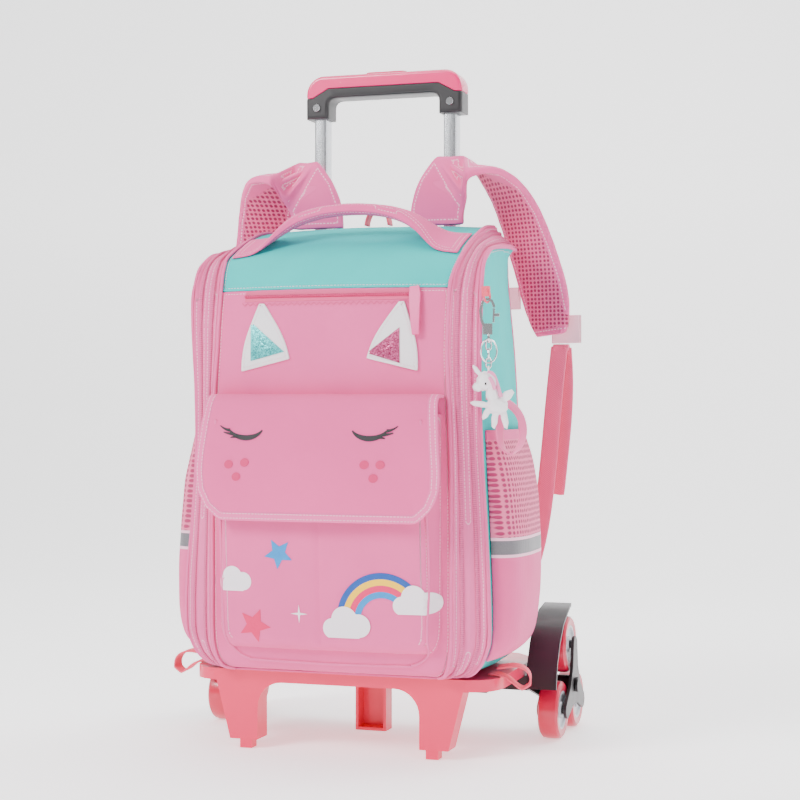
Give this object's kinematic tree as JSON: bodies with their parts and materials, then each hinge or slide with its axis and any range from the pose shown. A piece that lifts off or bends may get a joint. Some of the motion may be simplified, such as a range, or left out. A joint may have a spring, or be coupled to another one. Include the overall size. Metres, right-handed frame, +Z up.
{
  "type": "wheeled backpack",
  "caption": "Child's structured backpack on a moulded tray with front feet, pull handle, stair wheels, flap pocket, net side pockets and padded shoulder straps.",
  "frame": {"origin": "on the floor, under the middle of the bounding box", "axes": "+Z up, -Y towards the front with the flap pocket, +X to the right of a person who looks at the front"},
  "size_m": [0.4148, 0.323, 0.7095],
  "materials": {
    "rose_cloth": "woven polyester, padded",
    "turquoise_cloth": "woven polyester, padded",
    "light_rose_cloth": "smooth woven tape with zips",
    "satin": "white satin with glitter",
    "pink_plastic": "moulded, half gloss",
    "rose_net": "open net over cloth",
    "webbing": "woven webbing",
    "clear_pink_plastic": "clear pink",
    "tray_plastic": "moulded, satin",
    "tube_metal": "satin anodised",
    "black_plastic": "moulded, fine grain",
    "wheel_rubber": "moulded, half gloss",
    "bright_metal": "plated",
    "toy_rubber": "soft moulded, satin"
  },
  "bodies": {
    "bag": {"front_panel": "rose_cloth", "back_panel": "rose_cloth", "bottom_panel": "rose_cloth", "front_pocket": "rose_cloth", "pocket_flap": "rose_cloth", "carry_handle": "rose_cloth", "shoulder_strap_right": "rose_cloth", "shoulder_strap_left": "rose_cloth", "front_zip": "rose_cloth", "top_panel": "turquoise_cloth", "side_panel_right": "turquoise_cloth", "side_panel_left": "turquoise_cloth", "gusset_right": "light_rose_cloth", "gusset_left": "light_rose_cloth", "ear_right": "satin", "ear_left": "satin", "zip_puller": "pink_plastic", "side_pocket_right": "rose_net", "side_pocket_left": "rose_net", "strap_webbing_right": "webbing", "strap_webbing_left": "webbing", "hang_loop": "webbing", "tie_loop_right": "webbing", "tie_loop_left": "webbing", "key_tab": "webbing", "wrist_loop": "webbing", "adjuster_buckle_right": "clear_pink_plastic", "adjuster_buckle_left": "clear_pink_plastic", "chest_clip_right": "clear_pink_plastic", "chest_clip_left": "clear_pink_plastic", "base_tray": "tray_plastic", "outer_tube_right": "tube_metal", "outer_tube_left": "tube_metal", "tube_bracket": "black_plastic", "axle_beam": "black_plastic", "mudguard_right": "black_plastic", "mudguard_left": "black_plastic", "lobster_clasp": "bright_metal", "key_ring": "bright_metal", "chain_link_1": "bright_metal", "chain_link_2": "bright_metal", "chain_link_3": "bright_metal", "charm": "toy_rubber"},
    "pull_handle": {"inner_tube_right": "tube_metal", "inner_tube_left": "tube_metal", "grip_lower": "black_plastic", "grip_upper": "pink_plastic", "grip_screw_right": "tube_metal", "grip_screw_left": "tube_metal"},
    "button": {"release_button": "pink_plastic"},
    "spider_right": {"wheel_spider_right": "black_plastic"},
    "spider_left": {"wheel_spider_left": "black_plastic"},
    "clasp_gate": {"clasp_lever": "bright_metal"},
    "front_wheel_right": {"wheel_front_right": "wheel_rubber"},
    "front_wheel_left": {"wheel_front_left": "wheel_rubber"},
    "rear_wheel_right": {"wheel_rear_right": "wheel_rubber"},
    "rear_wheel_left": {"wheel_rear_left": "wheel_rubber"},
    "top_wheel_right": {"wheel_top_right": "wheel_rubber"},
    "top_wheel_left": {"wheel_top_left": "wheel_rubber"}
  },
  "joints": [
    {"name": "handle_slide", "type": "slide", "parent": "bag", "child": "pull_handle", "axis": [0, 0, 1], "range_m": [-0.115, 0.25]},
    {"name": "button_press", "type": "slide", "parent": "pull_handle", "child": "button", "axis": [0, 0, 1], "range_m": [-0.004, 0], "stiffness_N_per_m": 300},
    {"name": "clasp_gate_hinge", "type": "hinge", "parent": "bag", "child": "clasp_gate", "pos_m": [0.16625, -0.1083, 0.4295], "axis": [0.309, -0.9511, 0], "range_deg": [0, 25], "stiffness_Nm_per_rad": 0.01},
    {"name": "spider_turn_right", "type": "hinge", "parent": "bag", "child": "spider_right", "pos_m": [0.186, 0.09509, 0.05079], "axis": [1, 0, 0], "continuous": true},
    {"name": "spider_turn_left", "type": "hinge", "parent": "bag", "child": "spider_left", "pos_m": [-0.186, 0.09509, 0.05079], "axis": [1, 0, 0], "continuous": true},
    {"name": "front_wheel_roll_right", "type": "hinge", "parent": "spider_right", "child": "front_wheel_right", "pos_m": [0.186, 0.05809, 0.02942], "axis": [1, 0, 0], "continuous": true},
    {"name": "front_wheel_roll_left", "type": "hinge", "parent": "spider_left", "child": "front_wheel_left", "pos_m": [-0.186, 0.05809, 0.02942], "axis": [1, 0, 0], "continuous": true},
    {"name": "rear_wheel_roll_right", "type": "hinge", "parent": "spider_right", "child": "rear_wheel_right", "pos_m": [0.186, 0.13209, 0.02942], "axis": [1, 0, 0], "continuous": true},
    {"name": "rear_wheel_roll_left", "type": "hinge", "parent": "spider_left", "child": "rear_wheel_left", "pos_m": [-0.186, 0.13209, 0.02942], "axis": [1, 0, 0], "continuous": true},
    {"name": "top_wheel_roll_right", "type": "hinge", "parent": "spider_right", "child": "top_wheel_right", "pos_m": [0.186, 0.09509, 0.09351], "axis": [1, 0, 0], "continuous": true},
    {"name": "top_wheel_roll_left", "type": "hinge", "parent": "spider_left", "child": "top_wheel_left", "pos_m": [-0.186, 0.09509, 0.09351], "axis": [1, 0, 0], "continuous": true}
  ]
}
